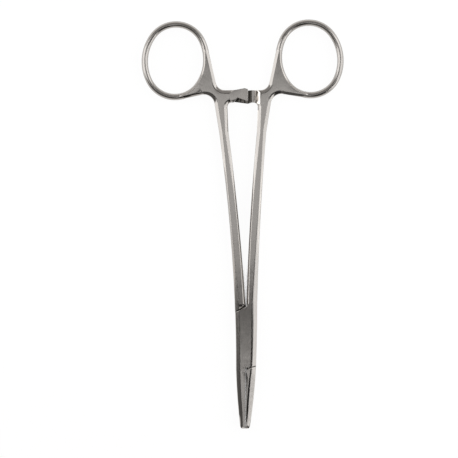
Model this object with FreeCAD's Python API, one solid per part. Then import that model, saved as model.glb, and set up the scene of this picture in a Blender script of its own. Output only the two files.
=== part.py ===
import FreeCAD, Part
import math
import os

# A straight needle holder with a box lock, lying flat with its front up.
# +Y runs from the pivot towards the finger rings, +X to the right as seen from the front, +Z up.
# The origin is on the pivot's axis, at the underside of the box. All sizes are in millimetres.
# A "side" is +1 for what lies right of the middle line and -1 for what lies left of it.

V = FreeCAD.Vector
UP = V(0, 0, 1)

# Box
BOX_THICKNESS = 4.6
BOX_HALF_LENGTH = 13.0
BOX_TOP_HALF_WIDTH = 4.38
BOX_BOTTOM_HALF_WIDTH = 3.86
LEFT_BEVEL_WIDTH = 1.3
RIGHT_BEVEL_WIDTH = 1.8
BEVEL_DEPTH = 0.85
CROTCH_HALF_GAP = 0.2

# Sloping edges of the box's plates: their distance from the pivot along Y, at the crotch and at the side,
# and how far the other half's shoulder stands off the edge at the crotch
HEAD_EDGE_AT_CROTCH = 12.0
HEAD_EDGE_AT_SIDE = 9.65
HEAD_WEDGE = 0.8
FOOT_EDGE_AT_CROTCH = 12.2
FOOT_EDGE_AT_SIDE = 11.1
FOOT_WEDGE = 0.2
SHOULDER_CLEARANCE = 0.1

# Tongue in the box's slot
TONGUE_THICKNESS = 1.5
TONGUE_RADIUS = 9.0
TONGUE_CLEARANCE = 0.05
ROOT_CLEARANCE = 0.2

# Pivot rivet, peened into a cone at both ends and ground flush
RIVET_RADIUS = 1.4
RIVET_HEAD_RADIUS = 1.9
RIVET_HEAD_DEPTH = 0.5
RIVET_CLEARANCE = 0.03

# Shanks, from the box up to the webs
SHANK_LENGTH = 67.0
SHANK_TOP_INSET = 5.55
SHANK_TOP_WIDTH = 3.65
SHANK_INWARD_BOW = 0.6
LEFT_SHANK_WAIST = 0.2
RIGHT_SHANK_WAIST = -0.1
SHANK_STATIONS = 7
INNER_BEVEL = 0.85
OUTER_BEVEL_WAIST = 0.6
INNER_BEVEL_WAIST = 0.3

# Finger rings: an oval section carried round an oval middle line of four arcs.
# The rise of a ring, a web or an arm is counted from the shank's top.
RING_THICKNESS = 3.0
RING_BAND = 2.55
RING_HALF_LONG = 14.2
RING_HALF_SHORT = 12.0
RING_END_RADIUS = 11.2
RING_FLATS = 20
RING_CENTRE_X = 26.2
RING_RISE = 28.3
RING_SKEW = 0.35
RIGHT_RING_LEAN = 7.3
LEFT_RING_LEAN = 4.2

# Web between a shank and its ring
WEB_THICKNESS = 3.0
WEB_BEVEL_WIDTH = 1.1
WEB_BEVEL_DEPTH = 0.65
WEB_RIM_INSET = 0.12
WEB_OVER_RING = 0.3
WEB_OUTER_X = 11.7
WEB_OUTER_RISE = 15.6
WEB_OUTER_FILLET = 4.2
WEB_INNER_X = 9.8
WEB_INNER_FILLET = 3.6

# Ratchet arms, with saw teeth on the sides that face each other
ARM_ROOT_X = 6.0
ARM_RISE = 11.6
ARM_WIDTH = 4.8
ARM_STUB = 2.6
ARM_RUNOUT = 1.6
ARM_CORNER_FILLET = 1.7
ARM_NECK = 3.0
ARM_WAIST_SHARE = 0.5
ARM_END_RISE = 0.8
ARM_END_CORNER = 1.3
FRONT_ARM_REACH = 8.1
REAR_ARM_REACH = 10.7
REAR_ARM_DROP = 0.45
TOOTH_COUNT = 5
TOOTH_PITCH = 1.55
TOOTH_HEIGHT = 0.7
TOOTH_LEAD = 0.6
TOOTH_CLEARANCE = 0.05
RAMP_LEAD = 1.1
RAMP_WIDTH = 2.05
RAMP_RUNOUT = 3.0

# Jaws, from the box down to the tip
JAW_LENGTH = 22.7
JAW_TIP_HALF_WIDTH = 1.78
JAW_TIP_THICKNESS = 2.6
JAW_BULGE = 0.27
JAW_BASE_GAP = 0.2
JAW_TIP_GAP = 0.05
JAW_STATIONS = 5
RIGHT_JAW_BEVEL_SWELL = 0.7
JAW_TIP_BEVEL_WIDTH = 1.0
JAW_TIP_BEVEL_DEPTH = 0.5
JAW_EDGE = 0.12
TIP_ROUND = 0.8
TIP_SLOPE_LENGTH = 0.8
TIP_SLOPE_DEPTH = 0.5

# Cross-cut serrations on the jaws' inner faces
GROOVE_PITCH = 1.1
GROOVE_WIDTH = 0.9
GROOVE_DEPTH = 0.2
GROOVE_ANGLE = 45.0
GROOVE_START = 1.2

# The slight bow: handles and jaws both lean to the left by this much per millimetre, from where the
# lean starts. The handles' lean ends a little above the shanks' tops.
HANDLE_LEAN = 0.019
HANDLE_LEAN_START = 6.0
HANDLE_LEAN_RISE = 2.0
JAW_LEAN = 0.0155
JAW_LEAN_START = 4.0

MIDDLE = BOX_THICKNESS / 2
SLOT_THICKNESS = TONGUE_THICKNESS + 2 * TONGUE_CLEARANCE
SHANK_TOP_Y = BOX_HALF_LENGTH + SHANK_LENGTH
RING_CENTRE_Y = SHANK_TOP_Y + RING_RISE
ARM_BOTTOM_Y = SHANK_TOP_Y + ARM_RISE
ARM_TOP_Y = ARM_BOTTOM_Y + ARM_WIDTH
HANDLE_LEAN_END = SHANK_TOP_Y + HANDLE_LEAN_RISE
TIP_Y = -BOX_HALF_LENGTH - JAW_LENGTH
WEB_BACK = MIDDLE - WEB_THICKNESS / 2
WEB_FRONT = MIDDLE + WEB_THICKNESS / 2

# Clear of whatever a cut passes, and smaller than any real size
BEYOND = 20.0
TINY = 0.001


def spot(side, x, y):
    """A point given on one side of a straight instrument, moved to where the slight bow puts it."""
    above = min(max(0.0, y - HANDLE_LEAN_START), HANDLE_LEAN_END - HANDLE_LEAN_START)
    below = max(0.0, -JAW_LEAN_START - y)
    return V(side * x - HANDLE_LEAN * above - JAW_LEAN * below, y, 0)


def blend(low, high, share):
    """The value a given share of the way from low to high."""
    return low + (high - low) * share


def bulge(share):
    """How full a bow or a bulge is at a given share of its length: none at the ends, all halfway."""
    return 4 * share * (1 - share)


def slab(points, low, high):
    """A straight-sided solid over a flat outline, from one height to another."""
    flat = [V(p.x, p.y, low) for p in points]
    face = Part.Face(Part.makePolygon(flat + flat[:1]))
    return face.extrude(UP * (high - low))


def bar_section(y, left, right, half, left_bevel, right_bevel):
    """A bar's eight-sided section at one place along Y. Each bevel is (width, depth)."""
    low = MIDDLE - half
    high = MIDDLE + half
    left_width, left_depth = left_bevel
    right_width, right_depth = right_bevel
    corners = [
        V(left + left_width, y, low),
        V(left, y, low + left_depth),
        V(left, y, high - left_depth),
        V(left + left_width, y, high),
        V(right - right_width, y, high),
        V(right, y, high - right_depth),
        V(right, y, low + right_depth),
        V(right - right_width, y, low),
    ]
    return Part.makePolygon(corners + corners[:1])


def member_section(side, y, inner, outer, half, inner_bevel, outer_bevel):
    """The section of a shank or a jaw, from its inner face to its outer one."""
    inner_x = spot(side, inner, y).x
    outer_x = spot(side, outer, y).x
    if side > 0:
        return bar_section(y, inner_x, outer_x, half, inner_bevel, outer_bevel)
    return bar_section(y, outer_x, inner_x, half, outer_bevel, inner_bevel)


def outer_bevel_width(side):
    """The width of the bevel along the outer edge of the box, a shank's foot or a jaw's root."""
    if side > 0:
        return RIGHT_BEVEL_WIDTH
    return LEFT_BEVEL_WIDTH


def shank(side, top_section):
    """A shank: a tapering bevelled bar, bowed a little inwards, whose last section is the web's end."""
    sections = []
    waist = RIGHT_SHANK_WAIST if side > 0 else LEFT_SHANK_WAIST
    base_width = BOX_TOP_HALF_WIDTH - CROTCH_HALF_GAP
    for step in range(SHANK_STATIONS - 1):
        share = step / (SHANK_STATIONS - 1)
        y = BOX_HALF_LENGTH + SHANK_LENGTH * share
        inner = blend(CROTCH_HALF_GAP, SHANK_TOP_INSET, share) - SHANK_INWARD_BOW * bulge(share)
        width = blend(base_width, SHANK_TOP_WIDTH, share) - waist * bulge(share)
        half = blend(BOX_THICKNESS, WEB_THICKNESS, share) / 2
        narrowing = math.sin(math.pi * share)
        outer_bevel = (
            blend(outer_bevel_width(side), WEB_BEVEL_WIDTH, share) - OUTER_BEVEL_WAIST * narrowing,
            blend(BEVEL_DEPTH, WEB_BEVEL_DEPTH, share),
        )
        inner_bevel = (
            blend(INNER_BEVEL, WEB_BEVEL_WIDTH, share) - INNER_BEVEL_WAIST * narrowing,
            blend(INNER_BEVEL, WEB_BEVEL_DEPTH, share),
        )
        sections.append(member_section(side, y, inner, inner + width, half, inner_bevel, outer_bevel))
    return Part.makeLoft(sections + [top_section], True, False)


def jaw_inner_x(side, y):
    """Where a jaw's inner face lies at one place along Y."""
    share = (-BOX_HALF_LENGTH - y) / JAW_LENGTH
    return spot(side, blend(JAW_BASE_GAP, JAW_TIP_GAP, share) / 2, y).x


def jaw(side):
    """A jaw: it tapers in width and thickness to a blunt tip, and its inner face is cross-cut."""
    sections = []
    bevel_swell = RIGHT_JAW_BEVEL_SWELL if side > 0 else 0.0
    for step in range(JAW_STATIONS):
        share = step / (JAW_STATIONS - 1)
        y = -BOX_HALF_LENGTH - JAW_LENGTH * share
        inner = blend(JAW_BASE_GAP, JAW_TIP_GAP, share) / 2
        outer = blend(BOX_BOTTOM_HALF_WIDTH, JAW_TIP_HALF_WIDTH, share) + JAW_BULGE * bulge(share)
        half = blend(BOX_THICKNESS, JAW_TIP_THICKNESS, share) / 2
        outer_bevel = (
            blend(outer_bevel_width(side), JAW_TIP_BEVEL_WIDTH, share) + bevel_swell * bulge(share),
            blend(BEVEL_DEPTH, JAW_TIP_BEVEL_DEPTH, share),
        )
        inner_bevel = (JAW_EDGE, JAW_EDGE)
        sections.append(member_section(side, y, inner, outer, half, inner_bevel, outer_bevel))
    blank = Part.makeLoft(sections, True, False)
    return blank.cut([tip_corner(side), tip_slope(1), tip_slope(-1)] + grooves(side))


def tip_corner(side):
    """What is ground off a jaw's outer corner at the tip to leave it round."""
    centre = spot(side, JAW_TIP_HALF_WIDTH - TIP_ROUND, TIP_Y + TIP_ROUND)
    low_y = TIP_Y - TIP_ROUND
    points = [
        V(centre.x, low_y, 0),
        V(centre.x + side * BEYOND, low_y, 0),
        V(centre.x + side * BEYOND, centre.y, 0),
        centre,
    ]
    pad = Part.makeCylinder(TIP_ROUND, 2 * BEYOND, V(centre.x, centre.y, -BEYOND), UP)
    return slab(points, -BEYOND, BEYOND).cut(pad)


def tip_slope(level):
    """What is ground off the tip's end at the front (level 1) or at the back (level -1)."""
    half = JAW_TIP_THICKNESS / 2
    points = [
        V(-BEYOND, TIP_Y + TIP_SLOPE_LENGTH, MIDDLE + level * (half + TINY)),
        V(-BEYOND, TIP_Y - TIP_SLOPE_LENGTH, MIDDLE + level * (half - 2 * TIP_SLOPE_DEPTH)),
        V(-BEYOND, TIP_Y - TIP_SLOPE_LENGTH, MIDDLE + level * BEYOND),
        V(-BEYOND, TIP_Y + TIP_SLOPE_LENGTH, MIDDLE + level * BEYOND),
    ]
    return Part.Face(Part.makePolygon(points + points[:1])).extrude(V(2 * BEYOND, 0, 0))


def grooves(side):
    """The V grooves that cross a jaw's inner face both ways and leave rows of blunt diamonds."""
    start = V(jaw_inner_x(side, -BOX_HALF_LENGTH), -BOX_HALF_LENGTH, MIDDLE)
    end = V(jaw_inner_x(side, TIP_Y), TIP_Y, MIDDLE)
    along = (end - start).normalize()
    outward = along.cross(UP) * side
    angle = math.radians(GROOVE_ANGLE)
    spacing = GROOVE_PITCH / math.sin(angle)
    count = int((end - start).Length / spacing)
    cuts = []
    for slant in (1, -1):
        line = along * math.cos(angle) + UP * (slant * math.sin(angle))
        aside = line.cross(outward)
        for index in range(count):
            middle = start + along * (GROOVE_START + BOX_THICKNESS / 2 + index * spacing)
            first = middle - line * BOX_THICKNESS
            lip = outward * GROOVE_DEPTH
            points = [
                first - outward * GROOVE_DEPTH,
                first + aside * GROOVE_WIDTH + lip,
                first - aside * GROOVE_WIDTH + lip,
            ]
            section = Part.Face(Part.makePolygon(points + points[:1]))
            cuts.append(section.extrude(line * (2 * BOX_THICKNESS)))
    return cuts


def box_blank():
    """The whole box before it is parted: full width, bevelled along both outer edges."""
    sections = []
    left_bevel = (outer_bevel_width(-1), BEVEL_DEPTH)
    right_bevel = (outer_bevel_width(1), BEVEL_DEPTH)
    for y in (BOX_HALF_LENGTH, HANDLE_LEAN_START, -JAW_LEAN_START, -BOX_HALF_LENGTH):
        share = (BOX_HALF_LENGTH - y) / (2 * BOX_HALF_LENGTH)
        half_width = blend(BOX_TOP_HALF_WIDTH, BOX_BOTTOM_HALF_WIDTH, share)
        left = spot(-1, half_width, y).x
        right = spot(1, half_width, y).x
        sections.append(bar_section(y, left, right, BOX_THICKNESS / 2, left_bevel, right_bevel))
    return Part.makeLoft(sections, True, False)


def plate_edge(side):
    """The two ends of a plate's sloping edge, at the crotch and at the side, as distances along Y, and
    how far the shoulder stands off it at the crotch."""
    if side < 0:
        return HEAD_EDGE_AT_CROTCH, HEAD_EDGE_AT_SIDE, HEAD_WEDGE
    return FOOT_EDGE_AT_CROTCH, FOOT_EDGE_AT_SIDE, FOOT_WEDGE


def plate_corner(side):
    """The corner of the box that lies outside a plate's sloping edge."""
    at_crotch, at_side, _ = plate_edge(side)
    return corner_region(side, -CROTCH_HALF_GAP, at_crotch, at_side)


def shoulder_corner(side):
    """The same corner, set back from the sloping edge, which a shoulder fills."""
    at_crotch, at_side, wedge = plate_edge(side)
    return corner_region(side, CROTCH_HALF_GAP, at_crotch + wedge, at_side + SHOULDER_CLEARANCE)


def corner_region(side, inset, at_crotch, at_side):
    """The upper left corner of the box (side -1) or its lower right one (side +1), outside a line
    that crosses the box at these heights at the crotch and at the side."""
    up = -side
    slope = (at_side - at_crotch) / BOX_TOP_HALF_WIDTH
    far_y = up * (BOX_HALF_LENGTH + BEYOND)
    points = [
        spot(side, inset, up * at_crotch),
        V(side * BOX_TOP_HALF_WIDTH, up * at_side, 0),
        V(side * BEYOND, up * (at_side + slope * (BEYOND - BOX_TOP_HALF_WIDTH)), 0),
        V(side * BEYOND, far_y, 0),
        spot(side, inset, far_y),
    ]
    return slab(points, -BEYOND, BEYOND)


def passage(radius, root_gap, thickness):
    """The flat space that runs through the box from its upper left to its lower right:
    a disc round the pivot and the two necks that lead out of it."""
    low = MIDDLE - thickness / 2
    high = MIDDLE + thickness / 2
    disc = Part.makeCylinder(radius, thickness, V(0, 0, low), UP)
    necks = []
    for side in (-1, 1):
        up = -side
        points = [
            V(side * -root_gap, 0, 0),
            V(side * BEYOND, 0, 0),
            V(side * BEYOND, up * (BOX_HALF_LENGTH + BEYOND), 0),
            V(side * -root_gap, up * (BOX_HALF_LENGTH + BEYOND), 0),
        ]
        necks.append(slab(points, low, high))
    return disc.fuse(necks)


def plated_box():
    """The box with its front and back plates, the slot between them and both sloping edges."""
    box = box_blank()
    for side in (-1, 1):
        box = box.cut(plate_corner(side))
    return box.cut(passage(TONGUE_RADIUS + ROOT_CLEARANCE, 0.0, SLOT_THICKNESS))


def tongue():
    """The thin tongue and the two full-thickness shoulders at its ends."""
    blank = box_blank()
    thin = blank.common(passage(TONGUE_RADIUS, -CROTCH_HALF_GAP, TONGUE_THICKNESS))
    return thin.fuse([blank.common(shoulder_corner(side)) for side in (-1, 1)])


def ring_lean(side):
    """The angle in degrees that a ring's long axis is turned by, anticlockwise from the front."""
    if side > 0:
        return RIGHT_RING_LEAN
    return -LEFT_RING_LEAN


def ring_centre(side):
    """The centre of a ring. The right one stands a little higher than the left one."""
    return spot(side, RING_CENTRE_X, RING_CENTRE_Y + side * RING_SKEW)


def ring_arcs(side):
    """The four arcs of a ring's oval middle line, each as (centre, radius, start angle, sweep)."""
    long_offset = RING_HALF_LONG - RING_END_RADIUS
    side_radius = (long_offset ** 2 + RING_HALF_SHORT ** 2 - RING_END_RADIUS ** 2) / (
        2 * (RING_HALF_SHORT - RING_END_RADIUS)
    )
    side_offset = side_radius - RING_HALF_SHORT
    lean = ring_lean(side)
    along = V(-math.sin(math.radians(lean)), math.cos(math.radians(lean)), 0)
    across = V(along.y, -along.x, 0)
    middle = ring_centre(side)
    turn = math.degrees(math.atan2(long_offset, side_offset))
    return {
        "right": (middle - across * side_offset, side_radius, lean - turn, 2 * turn),
        "top": (middle + along * long_offset, RING_END_RADIUS, lean + turn, 180 - 2 * turn),
        "left": (middle + across * side_offset, side_radius, lean + 180 - turn, 2 * turn),
        "bottom": (middle - along * long_offset, RING_END_RADIUS, lean + 180 + turn, 180 - 2 * turn),
    }


def ring_section(radius):
    """The oval section of a ring's band, drawn with flats, this far from the axis it is carried round."""
    corners = []
    for index in range(RING_FLATS):
        angle = 2 * math.pi * (index + 0.5) / RING_FLATS
        x = radius + RING_BAND / 2 * math.cos(angle)
        corners.append(V(x, 0, MIDDLE + RING_THICKNESS / 2 * math.sin(angle)))
    return Part.makePolygon(corners + corners[:1])


def ring(side):
    """A finger ring: an oval section carried round the four arcs of the ring's middle line."""
    pieces = []
    for centre, radius, start, sweep in ring_arcs(side).values():
        piece = Part.Face(ring_section(radius)).revolve(V(0, 0, 0), UP, sweep)
        piece.rotate(V(0, 0, 0), UP, start)
        piece.translate(centre)
        pieces.append(piece)
    return pieces[0].fuse(pieces[1:])


def ring_plug(side, low, high):
    """A plug in a ring's hole that leaves the web lying over the ring's crest."""
    edges = []
    for centre, radius, start, sweep in ring_arcs(side).values():
        circle = Part.Circle(V(centre.x, centre.y, low), UP, radius - WEB_OVER_RING)
        edges.append(circle.toShape(math.radians(start), math.radians(start + sweep)))
    return Part.Face(Part.Wire(edges)).extrude(UP * (high - low))


def tangent_point(start, centre, radius, turn):
    """Where a line from start touches a circle. turn is +1 for the touch on the left of the way there."""
    way = centre - start
    distance = math.hypot(way.x, way.y)
    angle = math.atan2(way.y, way.x) + turn * math.asin(radius / distance)
    length = math.sqrt(distance ** 2 - radius ** 2)
    return start + V(math.cos(angle), math.sin(angle), 0) * length


def web_outline(side):
    """The flat outline that joins the shank's top to the ring, with a stub for the ratchet arm.
    Its last lines run into the ring's rim."""
    arcs = ring_arcs(side)
    bottom_centre, bottom_radius, _, _ = arcs["bottom"]
    near_centre, near_radius, _, _ = arcs["left" if side > 0 else "right"]
    rim = RING_BAND / 2 - WEB_RIM_INSET
    underside = spot(side, WEB_OUTER_X, SHANK_TOP_Y + WEB_OUTER_RISE)
    inner_side = spot(side, WEB_INNER_X, ARM_TOP_Y)
    return [
        spot(side, SHANK_TOP_INSET, SHANK_TOP_Y),
        spot(side, SHANK_TOP_INSET + SHANK_TOP_WIDTH, SHANK_TOP_Y),
        underside,
        tangent_point(underside, bottom_centre, bottom_radius + rim, -side),
        ring_centre(side),
        tangent_point(inner_side, near_centre, near_radius + rim, side),
        inner_side,
        spot(side, ARM_ROOT_X - ARM_STUB, ARM_TOP_Y),
        spot(side, ARM_ROOT_X - ARM_STUB, ARM_BOTTOM_Y),
        spot(side, ARM_ROOT_X, ARM_BOTTOM_Y),
    ]


def upright_edge(shape, point):
    """The edges of the flat web that stand upright over a point of its outline."""
    found = []
    for edge in shape.Edges:
        middle = edge.CenterOfMass
        across = math.hypot(middle.x - point.x, middle.y - point.y)
        if across < TINY and abs(edge.Length - WEB_THICKNESS) < TINY:
            found.append(edge)
    return found


def rim_edges(side, shape):
    """The web's straight front and back edges that get a bevel, which the rounded ones then take up:
    all but those at the shank, at the arm's stub and inside the ring."""
    centre = ring_centre(side)
    stub_x = spot(side, ARM_ROOT_X - ARM_STUB, ARM_TOP_Y).x
    found = []
    for edge in shape.Edges:
        box = edge.BoundBox
        level = box.ZLength < TINY and isinstance(edge.Curve, Part.Line)
        at_shank = abs(box.YMax - SHANK_TOP_Y) < TINY
        at_stub = abs(box.XMin - stub_x) < TINY and abs(box.XMax - stub_x) < TINY
        middle = edge.CenterOfMass
        reach = math.hypot(middle.x - centre.x, middle.y - centre.y)
        if level and not at_shank and not at_stub and reach > RING_HALF_LONG:
            found.append(edge)
    return found


def web(side):
    """The flat that joins a shank to its ring, rounded in plan where it turns and bevelled all along."""
    outline = web_outline(side)
    plate = slab(outline, WEB_BACK, WEB_FRONT)
    plate = plate.makeFillet(WEB_OUTER_FILLET, upright_edge(plate, outline[2]))
    plate = plate.makeFillet(WEB_INNER_FILLET, upright_edge(plate, outline[6]))
    plate = plate.makeFillet(ARM_CORNER_FILLET, upright_edge(plate, outline[9]))
    plate = plate.makeChamfer(WEB_BEVEL_DEPTH, WEB_BEVEL_WIDTH, rim_edges(side, plate))
    return plate.cut(ring_plug(side, WEB_BACK, WEB_FRONT))


def shank_end(plate):
    """The outline of the web's cut end, which the shank's last section takes over."""
    for face in plate.Faces:
        box = face.BoundBox
        if box.YLength < TINY and abs(box.YMax - SHANK_TOP_Y) < TINY:
            return face.OuterWire


def tooth_line():
    """Where the shared row of teeth starts and ends along X, so that both arms mesh."""
    first = spot(1, ARM_ROOT_X - REAR_ARM_REACH, ARM_TOP_Y).x + TOOTH_LEAD
    return first, first + TOOTH_COUNT * TOOTH_PITCH


def arm_space(profile):
    """What is milled away beside an arm's teeth: a profile seen edge on, carried along the arm's width."""
    low_y = ARM_BOTTOM_Y - RAMP_RUNOUT
    points = [V(p.x, low_y, p.z) for p in profile]
    face = Part.Face(Part.makePolygon(points + points[:1]))
    return face.extrude(V(0, ARM_TOP_Y + ARM_END_RISE + TINY - low_y, 0))


def rear_space():
    """What is milled off the front of the rear arm: saw teeth whose steep sides face right, and a ramp
    up to the web's face."""
    first, last = tooth_line()
    root = MIDDLE - TOOTH_HEIGHT / 2 - TOOTH_CLEARANCE / 2
    points = [V(first - BEYOND, 0, BEYOND), V(first - BEYOND, 0, root), V(first, 0, root)]
    for index in range(TOOTH_COUNT):
        x = first + (index + 1) * TOOTH_PITCH
        points.append(V(x, 0, root + TOOTH_HEIGHT))
        points.append(V(x, 0, root))
    foot = last + RAMP_LEAD
    end = foot + RAMP_WIDTH
    return arm_space(points + [V(foot, 0, root), V(end, 0, WEB_FRONT), V(end, 0, BEYOND)])


def front_space():
    """What is milled off the back of the front arm: teeth that seat in the rear arm's, and a ramp."""
    first, last = tooth_line()
    root = MIDDLE + TOOTH_HEIGHT / 2 + TOOTH_CLEARANCE / 2
    points = [V(last + BEYOND, 0, -BEYOND), V(last + BEYOND, 0, root)]
    for index in reversed(range(TOOTH_COUNT + 1)):
        x = first + index * TOOTH_PITCH + TOOTH_CLEARANCE
        points.append(V(x, 0, root - TOOTH_HEIGHT))
        points.append(V(x, 0, root))
    foot = first - RAMP_LEAD
    end = foot - RAMP_WIDTH
    return arm_space(points + [V(foot, 0, root), V(end, 0, WEB_BACK), V(end, 0, -BEYOND)])


def arm_root(side):
    """The points of an arm's plan that lie on its web, where the web's bevels run out."""
    stub_end = ARM_ROOT_X - ARM_STUB
    return [
        spot(side, stub_end, ARM_BOTTOM_Y),
        spot(side, stub_end + ARM_RUNOUT, ARM_BOTTOM_Y + WEB_BEVEL_WIDTH),
        spot(side, stub_end + ARM_RUNOUT, ARM_TOP_Y - WEB_BEVEL_WIDTH),
        spot(side, stub_end, ARM_TOP_Y),
    ]


def front_arm_outline():
    """The front arm in plan: its top rises to its end, and it is waisted underneath."""
    tip = ARM_ROOT_X - FRONT_ARM_REACH
    waist = blend(ARM_ROOT_X, tip, ARM_WAIST_SHARE)
    return arm_root(-1) + [
        spot(-1, tip + ARM_END_CORNER, ARM_TOP_Y + ARM_END_RISE),
        spot(-1, tip, ARM_TOP_Y + ARM_END_RISE / 2),
        spot(-1, tip, ARM_BOTTOM_Y + ARM_END_RISE / 2),
        spot(-1, waist, ARM_TOP_Y - ARM_NECK),
    ]


def rear_arm_outline():
    """The rear arm in plan: a straight bar, cut back underneath towards its tip."""
    tip = ARM_ROOT_X - REAR_ARM_REACH
    front_tip = FRONT_ARM_REACH - ARM_ROOT_X
    top = ARM_TOP_Y - REAR_ARM_DROP
    bottom = ARM_BOTTOM_Y - REAR_ARM_DROP
    return arm_root(1) + [
        spot(1, tip, top),
        spot(1, tip, bottom + 2 * REAR_ARM_DROP),
        spot(1, front_tip, bottom),
    ]


def arm(outline):
    """A ratchet arm before its teeth are milled, as thick as the web."""
    return slab(outline, WEB_BACK, WEB_FRONT)


def rivet_blank(radius, head_radius):
    """A plain pin with a flush cone at each end."""
    points = [
        V(0, 0, 0),
        V(head_radius, 0, 0),
        V(radius, 0, RIVET_HEAD_DEPTH),
        V(radius, 0, BOX_THICKNESS - RIVET_HEAD_DEPTH),
        V(head_radius, 0, BOX_THICKNESS),
        V(0, 0, BOX_THICKNESS),
    ]
    face = Part.Face(Part.makePolygon(points + points[:1]))
    return face.revolve(V(0, 0, 0), UP, 360)


def handle(side, arm_outline, space):
    """A shank, its web, its ring and its ratchet arm."""
    plate = web(side)
    bar = shank(side, shank_end(plate))
    upper = plate.fuse(arm(arm_outline)).cut(space)
    return bar.fuse([upper, ring(side)])


def box_half():
    """Right ring, right shank, rear ratchet arm, plated box and left jaw."""
    body = handle(1, rear_arm_outline(), rear_space()).fuse([plated_box(), jaw(-1)])
    return body.cut(rivet_blank(RIVET_RADIUS, RIVET_HEAD_RADIUS)).removeSplitter()


def tongue_half():
    """Left ring, left shank, front ratchet arm, tongue and right jaw."""
    body = handle(-1, front_arm_outline(), front_space()).fuse([tongue(), jaw(1)])
    bore = Part.makeCylinder(RIVET_RADIUS + RIVET_CLEARANCE, BOX_THICKNESS, V(0, 0, 0), UP)
    return body.cut(bore).removeSplitter()


def main():
    os.makedirs("parts", exist_ok=True)
    pieces = {
        "box_half": box_half(),
        "tongue_half": tongue_half(),
        "pivot_rivet": rivet_blank(RIVET_RADIUS, RIVET_HEAD_RADIUS),
    }
    for name, shape in pieces.items():
        print(name, shape.isValid(), len(shape.Solids), round(shape.Volume, 2))
        shape.exportStep("parts/" + name + ".step")


main()
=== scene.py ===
import math

import bmesh
import bpy
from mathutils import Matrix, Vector


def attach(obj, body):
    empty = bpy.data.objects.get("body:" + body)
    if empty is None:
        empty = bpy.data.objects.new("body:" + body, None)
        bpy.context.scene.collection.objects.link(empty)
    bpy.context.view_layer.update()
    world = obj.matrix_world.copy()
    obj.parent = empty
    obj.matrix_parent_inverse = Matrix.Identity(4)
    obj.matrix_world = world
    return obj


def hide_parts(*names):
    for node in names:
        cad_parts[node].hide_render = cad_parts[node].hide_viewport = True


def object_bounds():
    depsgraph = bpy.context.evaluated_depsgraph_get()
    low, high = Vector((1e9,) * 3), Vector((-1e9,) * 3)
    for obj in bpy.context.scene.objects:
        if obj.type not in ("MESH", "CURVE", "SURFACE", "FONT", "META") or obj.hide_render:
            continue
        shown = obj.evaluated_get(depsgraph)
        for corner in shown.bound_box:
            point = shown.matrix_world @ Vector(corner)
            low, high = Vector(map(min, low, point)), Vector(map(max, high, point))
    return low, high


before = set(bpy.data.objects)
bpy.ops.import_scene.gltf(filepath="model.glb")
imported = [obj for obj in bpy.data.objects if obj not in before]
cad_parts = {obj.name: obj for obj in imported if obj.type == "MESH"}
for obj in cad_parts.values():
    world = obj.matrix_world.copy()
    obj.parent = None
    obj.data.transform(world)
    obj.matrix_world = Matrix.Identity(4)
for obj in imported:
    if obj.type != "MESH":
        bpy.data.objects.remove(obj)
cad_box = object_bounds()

# A straight needle holder with a box lock: two forged halves of stainless steel on one rivet, lying
# front up on a white table. Places are in metres, x to the right, y from the jaws to the rings, and
# the pivot at the origin. Sizes that read best in millimetres are multiplied by MM.

MM = 0.001

# The photograph's frame, and where the pivot stands in it
PHOTO_PIXELS = 458
MM_PER_PIXEL = 0.3907
PIVOT_PIXEL_X = 246.3
PIVOT_PIXEL_Y = 337.0
CAMERA_HEIGHT = 1.1
CAMERA_REACH = 10.0
SENSOR_WIDTH = 36.0

# Flat facets are joined before the edges are softened, all but the ones round the rings' holes
MERGE_DISTANCE = 0.0005 * MM
FLAT_ANGLE = math.radians(0.3)
RING_START = 78.0 * MM

# Softened edges of the forgings: a polishing wheel rounds blunt edges more than keen ones, and hardly
# reaches the short edges of teeth and serrations
BLUNT_ROUND = 0.4 * MM
KEEN_ROUND = 0.2 * MM
BLUNT_ANGLE = math.radians(17)
KEEN_ANGLE = math.radians(40)
SHORT_EDGE = 0.3 * MM
ROUND_SEGMENTS = 3
SMOOTH_ANGLE = math.radians(40)
FLAT_FACE_WEIGHT = 100

# The seam across the foot of each shank stays crisp
SHANK_FOOT = 13.0 * MM
FOOT_REACH = 0.05 * MM

# The rounding fades out towards the rings, whose round section has no edges
ROUNDED_BELOW = 104.0 * MM
ROUNDED_WITHIN = 17.0 * MM
ROUNDING_FADE = 4.0 * MM

# The finishes, by their places in a forging's list of materials. The milled one carries painted shade,
# the buffed one a painted highlight
SATIN, SHADED_MILLING, BUFFED_HIGHLIGHT = 0, 1, 2

# Left as milled, with a dark colour that is partly painted shade for these narrow, shaded places: the
# slot and tongue of the box lock, the slopes above it, and the ratchet's teeth, which face each other
# at mid thickness
SLOT_MIDDLE = 2.3 * MM
SLOT_REACH = 0.8 * MM
BOX_REACH = 13.0 * MM
SLOPES_FROM = 8.0 * MM
SLOPES_TO = 16.0 * MM
SLOPE_LEAN = -0.1
TEETH_LEFT = -9.5 * MM
TEETH_RIGHT = 2.2 * MM
TEETH_FROM = 88.0 * MM
TEETH_TO = 99.0 * MM
TEETH_LOW = 0.9 * MM
TEETH_HIGH = 3.1 * MM

# Buffed smooth, with a lighter colour that is a painted highlight: the ramp beside the rear arm's
# teeth, which leans to the left
RAMP_RIGHT = 7.0 * MM
RAMP_FROM = 92.0 * MM
RAMP_LEAN = -0.25
RAMP_FACING_UP = 0.2

# The grain that polishing leaves along the shanks. Real marks are a few hundredths of a millimetre
# wide, too fine to show, so they are drawn as wide as it takes to see them.
GRAIN_WIDTH = 0.25 * MM
GRAIN_SQUEEZE = 0.08
GRAIN_DEPTH = 0.02 * MM
GRAIN_STRENGTH = 0.05

# The slight waviness of flats that are ground by hand
WAVINESS_LENGTH = 6.0 * MM
WAVINESS_DEPTH = 0.03 * MM

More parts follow.
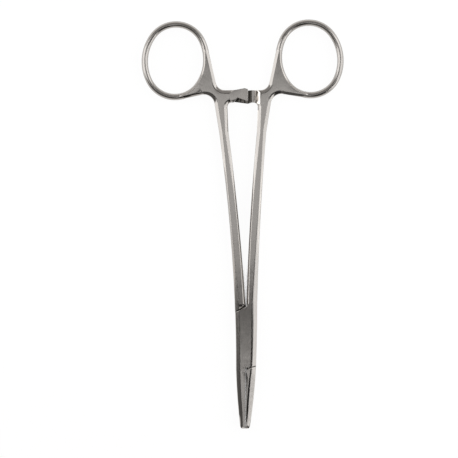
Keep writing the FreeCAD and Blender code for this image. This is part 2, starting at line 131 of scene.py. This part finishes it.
# Faint cross grinding on the jaws' flats, drawn coarser than the real marks, so that it shows.
# A wave texture of scale 1 repeats every WAVE_UNIT. LEVEL is the square of how squarely a face looks
# up or down.
WAVE_UNIT = math.pi / 10
HATCH_PITCH = 0.47 * MM
HATCH_DEPTH = 0.006 * MM
HATCH_START = -6.0 * MM
HATCH_FULL = -10.0 * MM
LEVEL_START = 0.8
LEVEL_FULL = 0.95

# Marks of the milling cutter, drawn coarser than the real ones, so that they show
CUTTER_MARKS = 0.3 * MM

# The table, just below the instrument. It is mostly its own light where it is seen, and paint for
# the rest, which takes the shadow.
TABLE_HALF = 3.0
TABLE_DROP = 0.02 * MM
GLOW = 1.06
GLOW_SHARE = 0.88

# Painted shade: the table's own glow is dimmed where the gap above it is narrow for its depth, such
# as the one between the jaws, as hardly any light reaches the table there. GAP_SHUT and GAP_OPEN are
# how much of the sky a spot on the table sees where the painted shade is darkest and where it glows
# fully.
GAP_DEPTH = 2.0 * MM
GAP_SHUT = 0.01
GAP_OPEN = 0.12
GAP_GLOW = 0.1
GAP_SAMPLES = 4

# Brightness of the room, as a reflection shows it, and the parts of a direction, from -1 to 1, between
# which it changes
ROOM_DIM = 0.12
ROOM_RIGHT = 0.02
RIGHT_START = 0.0
RIGHT_FULL = 0.15
ROOM_BEYOND = 0.4
BEYOND_START = 0.1
BEYOND_FULL = 0.6
ROOM_HORIZON = 0.9
HORIZON_START = 0.4
HORIZON_FULL = 0.06

# Light panels overhead, face down: name, x, y, width, length, level
OVERHEAD_HEIGHT = 0.5
OVERHEAD_PANELS = (
    ("overhead_rings", 0.0, 0.126, 0.10, 0.024, 0.72),
    ("overhead_left", -0.17, 0.116, 0.24, 0.045, 1.2),
    ("overhead_right", 0.17, 0.116, 0.24, 0.045, 1.2),
    ("overhead_shanks", 0.0, 0.070, 0.10, 0.090, 0.67),
    ("overhead_box", 0.0, -0.044, 0.06, 0.03, 1.0),
    ("overhead_jaws", 0.0, -0.127, 0.07, 0.135, 0.62),
)

# Light panels at the sides, turned to the instrument's middle: name, x, y, z, width, height, level
SIDE_PANELS = (
    ("right_jaws", 0.37, -0.175, 0.24, 0.18, 0.42, 1.4),
    ("right_box", 0.39, -0.043, 0.18, 0.085, 0.30, 1.4),
    ("right_back", 0.36, 0.195, 0.26, 0.39, 0.50, 1.4),
    ("left_back", -0.36, 0.150, 0.26, 0.28, 0.50, 1.5),
)


def linear(hex_colour):
    """An sRGB hex colour as the linear RGBA that sockets take."""
    channels = [int(hex_colour[i:i + 2], 16) / 255 for i in (0, 2, 4)]
    return [c / 12.92 if c <= 0.04045 else ((c + 0.055) / 1.055) ** 2.4 for c in channels] + [1.0]


def add_node(tree, kind, inputs=None, **settings):
    """Adds a node, sets its properties, and fills its inputs with values or with other sockets."""
    node = tree.nodes.new(kind)
    for name, value in settings.items():
        setattr(node, name, value)
    for key, value in (inputs or {}).items():
        if isinstance(value, bpy.types.NodeSocket):
            tree.links.new(value, node.inputs[key])
        else:
            node.inputs[key].default_value = value
    return node


def new_material(name):
    """An empty node material, its node tree and its output node."""
    material = bpy.data.materials.new(name)
    material.use_nodes = True
    material.node_tree.nodes.clear()
    output = add_node(material.node_tree, "ShaderNodeOutputMaterial")
    return material, material.node_tree, output


def polished_steel(name, colour, smooth, dull):
    """Forged stainless steel, ground by hand and polished: grey reflections with a fine grain
    lengthwise, slightly wavy flats, and faint cross grinding on the jaws. The roughness varies
    between smooth and dull."""
    material, tree, output = new_material(name)
    coordinates = add_node(tree, "ShaderNodeTexCoord")
    place = coordinates.outputs["Object"]
    lengthwise = add_node(
        tree, "ShaderNodeMapping",
        {"Vector": place, "Scale": (1.0, GRAIN_SQUEEZE, 1.0)},
    )
    grain = add_node(
        tree, "ShaderNodeTexNoise",
        {
            "Vector": lengthwise.outputs["Vector"],
            "Scale": 1 / GRAIN_WIDTH,
            "Detail": 3.0,
            "Roughness": 0.6,
        },
    )
    waviness = add_node(
        tree, "ShaderNodeTexNoise",
        {"Vector": place, "Scale": 1 / WAVINESS_LENGTH, "Detail": 2.0, "Roughness": 0.5},
    )
    wavy = add_node(
        tree, "ShaderNodeBump",
        {"Height": waviness.outputs["Fac"], "Strength": 1.0, "Distance": WAVINESS_DEPTH},
    )
    hatching = add_node(
        tree, "ShaderNodeTexWave",
        {
            "Vector": place,
            "Scale": WAVE_UNIT / HATCH_PITCH,
            "Distortion": 1.5,
            "Detail": 2.0,
            "Detail Scale": 2.0,
        },
        bands_direction="Y",
    )
    along = add_node(tree, "ShaderNodeSeparateXYZ", {"Vector": place}).outputs["Y"]
    on_jaws = add_node(
        tree, "ShaderNodeMapRange",
        {"Value": along, "From Min": HATCH_START, "From Max": HATCH_FULL},
        interpolation_type="SMOOTHSTEP",
    )
    way = coordinates.outputs["Normal"]
    facing = add_node(tree, "ShaderNodeSeparateXYZ", {"Vector": way}).outputs["Z"]
    level = add_node(tree, "ShaderNodeMath", {0: facing, 1: facing}, operation="MULTIPLY")
    on_flats = add_node(
        tree, "ShaderNodeMapRange",
        {
            "Value": level.outputs[0],
            "From Min": LEVEL_START,
            "From Max": LEVEL_FULL,
            "To Min": 0.0,
            "To Max": on_jaws.outputs["Result"],
        },
    )
    hatched = add_node(
        tree, "ShaderNodeBump",
        {
            "Height": hatching.outputs["Fac"],
            "Strength": on_flats.outputs["Result"],
            "Distance": HATCH_DEPTH,
            "Normal": wavy.outputs["Normal"],
        },
    )
    grained = add_node(
        tree, "ShaderNodeBump",
        {
            "Height": grain.outputs["Fac"],
            "Strength": GRAIN_STRENGTH,
            "Distance": GRAIN_DEPTH,
            "Normal": hatched.outputs["Normal"],
        },
    )
    rough = add_node(
        tree, "ShaderNodeMapRange",
        {"Value": grain.outputs["Fac"], "To Min": smooth, "To Max": dull},
    )
    steel = add_node(
        tree, "ShaderNodeBsdfPrincipled",
        {
            "Base Color": linear(colour),
            "Metallic": 1.0,
            "Roughness": rough.outputs["Result"],
            "Normal": grained.outputs["Normal"],
        },
    )
    tree.links.new(steel.outputs["BSDF"], output.inputs["Surface"])
    return material


def shaded_milled_finish():
    """Stainless steel as the cutter left it: dull, and dark beside the polished faces. The dark colour
    is partly painted shade for the shaded slot, slopes and teeth.
    """
    material, tree, output = new_material("milled_finish_painted_shade")
    place = add_node(tree, "ShaderNodeTexCoord").outputs["Object"]
    marks = add_node(
        tree, "ShaderNodeTexNoise",
        {"Vector": place, "Scale": 1 / CUTTER_MARKS, "Detail": 2.0},
    )
    rough = add_node(
        tree, "ShaderNodeMapRange",
        {"Value": marks.outputs["Fac"], "To Min": 0.42, "To Max": 0.58},
    )
    # The dark base colour is partly painted shade for the slot, the slopes and the teeth
    steel = add_node(
        tree, "ShaderNodeBsdfPrincipled",
        {"Base Color": linear("6E6B67"), "Metallic": 1.0, "Roughness": rough.outputs["Result"]},
    )
    tree.links.new(steel.outputs["BSDF"], output.inputs["Surface"])
    return material


def white_table():
    """Matte white paint. The camera and mirrors see it as plain white, with a faint soft shadow, and
    dark in narrow gaps, where painted shade dims its glow."""
    material, tree, output = new_material("matte_white_table")
    path = add_node(tree, "ShaderNodeLightPath")
    mirrored = add_node(
        tree, "ShaderNodeMath",
        {0: path.outputs["Is Camera Ray"], 1: path.outputs["Is Glossy Ray"]},
        operation="MAXIMUM",
    )
    seen = add_node(
        tree, "ShaderNodeMath",
        {0: mirrored.outputs[0], 1: path.outputs["Is Transmission Ray"]},
        operation="MAXIMUM",
    )
    share = add_node(tree, "ShaderNodeMath", {0: seen.outputs[0], 1: GLOW_SHARE}, operation="MULTIPLY")
    paint = add_node(tree, "ShaderNodeBsdfDiffuse", {"Color": linear("FFFFFF")})
    # Painted shade: the glow is dimmed by how little of the sky a spot sees through a narrow gap
    sky = add_node(tree, "ShaderNodeAmbientOcclusion", {"Distance": GAP_DEPTH}, samples=GAP_SAMPLES)
    gap_painted_shade = add_node(
        tree, "ShaderNodeMapRange",
        {
            "Value": sky.outputs["AO"],
            "From Min": GAP_SHUT,
            "From Max": GAP_OPEN,
            "To Min": GAP_GLOW,
            "To Max": GLOW,
        },
    )
    glow = add_node(
        tree, "ShaderNodeEmission",
        {"Color": linear("FFFFFF"), "Strength": gap_painted_shade.outputs["Result"]},
    )
    white = add_node(
        tree, "ShaderNodeMixShader",
        {0: share.outputs[0], 1: paint.outputs[0], 2: glow.outputs[0]},
    )
    tree.links.new(white.outputs[0], output.inputs["Surface"])
    return material


def table():
    """A plain white table that the instrument lies on."""
    bm = bmesh.new()
    bmesh.ops.create_grid(bm, x_segments=1, y_segments=1, size=TABLE_HALF)
    bmesh.ops.translate(bm, verts=bm.verts, vec=(0, 0, -TABLE_DROP))
    mesh = bpy.data.meshes.new("table")
    bm.to_mesh(mesh)
    bm.free()
    piece = bpy.data.objects.new("table", mesh)
    bpy.context.scene.collection.objects.link(piece)
    mesh.materials.append(white_table())


def studio_world():
    """A dim room, darker to the right, grey beyond the rings, with a bright horizon all round."""
    world = bpy.data.worlds.new("studio")
    bpy.context.scene.world = world
    world.use_nodes = True
    tree = world.node_tree
    tree.nodes.clear()
    output = add_node(tree, "ShaderNodeOutputWorld")
    way = add_node(tree, "ShaderNodeTexCoord").outputs["Generated"]
    parts = add_node(tree, "ShaderNodeSeparateXYZ", {"Vector": way})
    sides = add_node(
        tree, "ShaderNodeMapRange",
        {
            "Value": parts.outputs["X"],
            "From Min": RIGHT_START,
            "From Max": RIGHT_FULL,
            "To Min": ROOM_DIM,
            "To Max": ROOM_RIGHT,
        },
    )
    beyond = add_node(
        tree, "ShaderNodeMapRange",
        {
            "Value": parts.outputs["Y"],
            "From Min": BEYOND_START,
            "From Max": BEYOND_FULL,
            "To Min": sides.outputs["Result"],
            "To Max": ROOM_BEYOND,
        },
        interpolation_type="SMOOTHSTEP",
    )
    horizon = add_node(
        tree, "ShaderNodeMapRange",
        {
            "Value": parts.outputs["Z"],
            "From Min": HORIZON_START,
            "From Max": HORIZON_FULL,
            "To Min": 0.0,
            "To Max": ROOM_HORIZON,
        },
        interpolation_type="SMOOTHSTEP",
    )
    level = add_node(
        tree, "ShaderNodeMath",
        {0: beyond.outputs["Result"], 1: horizon.outputs["Result"]},
        operation="ADD",
    )
    light = add_node(
        tree, "ShaderNodeBackground",
        {"Color": linear("FFFCF9"), "Strength": level.outputs[0]},
    )
    tree.links.new(light.outputs["Background"], output.inputs["Surface"])


def softbox(name, place, aim, across, tall, level):
    """A soft light panel that faces a point. Its level is its brightness as a reflection shows it."""
    data = bpy.data.lights.new(name, "AREA")
    data.shape = "RECTANGLE"
    data.size = across
    data.size_y = tall
    data.energy = level * math.pi * across * tall
    lamp = bpy.data.objects.new(name, data)
    bpy.context.scene.collection.objects.link(lamp)
    lamp.location = place
    lamp.rotation_euler = (Vector(aim) - Vector(place)).to_track_quat("-Z", "Y").to_euler()
    lamp.visible_camera = False


def studio_lights():
    """Panels overhead and at both sides. The ones overhead shade the flats lengthwise, as each stretch
    mirrors its own part of them. The left one stands beyond the box lock, so the left edges darken
    towards the jaws, and the gaps between the right ones show as dark stretches of the right edges."""
    for name, x, y, width, length, level in OVERHEAD_PANELS:
        softbox(name, (x, y, OVERHEAD_HEIGHT), (x, y, 0.0), width, length, level)
    for name, x, y, z, width, height, level in SIDE_PANELS:
        softbox(name, (x, y, z), (0.0, y, 0.0), width, height, level)


def photo_camera():
    """A long lens looking straight down, with the photograph's frame."""
    data = bpy.data.cameras.new("photo_camera")
    data.sensor_width = SENSOR_WIDTH
    data.lens = SENSOR_WIDTH * CAMERA_HEIGHT / (PHOTO_PIXELS * MM_PER_PIXEL * MM)
    data.clip_end = CAMERA_REACH
    camera = bpy.data.objects.new("photo_camera", data)
    bpy.context.scene.collection.objects.link(camera)
    mid_thickness = cad_box[1].z / 2
    x = (PHOTO_PIXELS / 2 - PIVOT_PIXEL_X) * MM_PER_PIXEL * MM
    y = (PIVOT_PIXEL_Y - PHOTO_PIXELS / 2) * MM_PER_PIXEL * MM
    camera.location = (x, y, mid_thickness + CAMERA_HEIGHT)
    bpy.context.scene.camera = camera


def dissolvable(edge):
    """Whether the flat facets beside an edge may be joined. Round a ring's hole they stay apart,
    because one face can't run all round a hole."""
    return max(edge.verts[0].co.y, edge.verts[1].co.y) < RING_START


def edge_softness(edge):
    """How far polishing rounds an edge, as a share of the roundest."""
    angle = edge.calc_face_angle(0.0) if edge.is_manifold else 0.0
    lengths = [other.calc_length() for corner in edge.verts for other in corner.link_edges]
    at_foot = all(abs(corner.co.y - SHANK_FOOT) < FOOT_REACH for corner in edge.verts)
    if angle < BLUNT_ANGLE or min(lengths) < SHORT_EDGE or at_foot:
        return 0.0
    end = edge.verts[0].co
    room = min(ROUNDED_BELOW - end.y, ROUNDED_WITHIN - abs(end.x)) / ROUNDING_FADE
    share = 1.0 if angle < KEEN_ANGLE else KEEN_ROUND / BLUNT_ROUND
    return share * min(1.0, max(0.0, room))


def finish_and_painted_light_of(face):
    """A face's finish, told by where it is and which way it looks. The milled finish carries painted
    shade, and the buffed one a painted highlight.
    """
    centre = face.calc_center_median()
    # These faces get the milled finish, whose dark colour is partly painted shade
    in_slot = abs(centre.y) < BOX_REACH and abs(centre.z - SLOT_MIDDLE) < SLOT_REACH
    slope_painted_shade = (
        SLOPES_FROM < centre.y < SLOPES_TO
        and centre.z > SLOT_MIDDLE
        and face.normal.y < SLOPE_LEAN
    )
    at_teeth = (
        TEETH_LEFT < centre.x < TEETH_RIGHT
        and TEETH_FROM < centre.y < TEETH_TO
        and TEETH_LOW < centre.z < TEETH_HIGH
    )
    if in_slot or slope_painted_shade or at_teeth:
        return SHADED_MILLING
    # The ramp gets the buffed finish, whose lighter colour is a painted highlight
    ramp_painted_highlight = (
        TEETH_RIGHT < centre.x < RAMP_RIGHT
        and RAMP_FROM < centre.y < TEETH_TO
        and centre.z > TEETH_LOW
        and face.normal.x < RAMP_LEAN
        and face.normal.z > RAMP_FACING_UP
    )
    return BUFFED_HIGHLIGHT if ramp_painted_highlight else SATIN


def forging(node, body, name, materials):
    """A half of the instrument with its own mesh, whose crisp edges are softened as polishing leaves
    them. The materials are in the order of satin, milled with painted shade, and buffed with a painted
    highlight."""
    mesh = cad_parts[node].data.copy()
    mesh.name = name
    mesh.materials.clear()
    for material in materials:
        mesh.materials.append(material)
    bm = bmesh.new()
    bm.from_mesh(mesh)
    bmesh.ops.remove_doubles(bm, verts=bm.verts, dist=MERGE_DISTANCE)
    flat = [edge for edge in bm.edges if dissolvable(edge)]
    bmesh.ops.dissolve_limit(bm, angle_limit=FLAT_ANGLE, verts=[], edges=flat)
    softness = bm.edges.layers.float.new("bevel_weight_edge")
    for edge in bm.edges:
        edge[softness] = edge_softness(edge)
    for face in bm.faces:
        face.smooth = True
        face.material_index = finish_and_painted_light_of(face)
    bm.to_mesh(mesh)
    bm.free()
    mesh.set_sharp_from_angle(angle=SMOOTH_ANGLE)
    piece = bpy.data.objects.new(name, mesh)
    bpy.context.scene.collection.objects.link(piece)
    rounding = piece.modifiers.new("polished_edges", "BEVEL")
    rounding.limit_method = "WEIGHT"
    rounding.width = BLUNT_ROUND
    rounding.segments = ROUND_SEGMENTS
    rounding.use_clamp_overlap = False
    shading = piece.modifiers.new("flat_faces_lead", "WEIGHTED_NORMAL")
    shading.weight = FLAT_FACE_WEIGHT
    shading.keep_sharp = True
    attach(piece, body)
    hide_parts(node)


# Satin gives soft grey reflections, as milled is dull and dark, its dark partly painted shade,
# and buffed bright mirrors clearly, its lighter colour a painted highlight
satin = polished_steel("satin_polished_stainless_steel", "B4B0AC", 0.12, 0.2)
# The buffed finish's lighter colour is a painted highlight; its lower roughness is the buffing
buffed_highlight_steel = polished_steel("buffed_steel_painted_highlight", "D4D1CD", 0.06, 0.12)
finishes_and_painted_light = (satin, shaded_milled_finish(), buffed_highlight_steel)
table()
studio_world()
studio_lights()
photo_camera()
forging("box_half", "box_side", "box_half_forging", finishes_and_painted_light)
forging("tongue_half", "tongue_side", "tongue_half_forging", finishes_and_painted_light)

# The rivet is ground flush and polished with the box, so it keeps its CAD shape and is satin too
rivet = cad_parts["pivot_rivet"]
rivet.data.materials.clear()
rivet.data.materials.append(satin)

bpy.context.scene.view_settings.view_transform = "Standard"
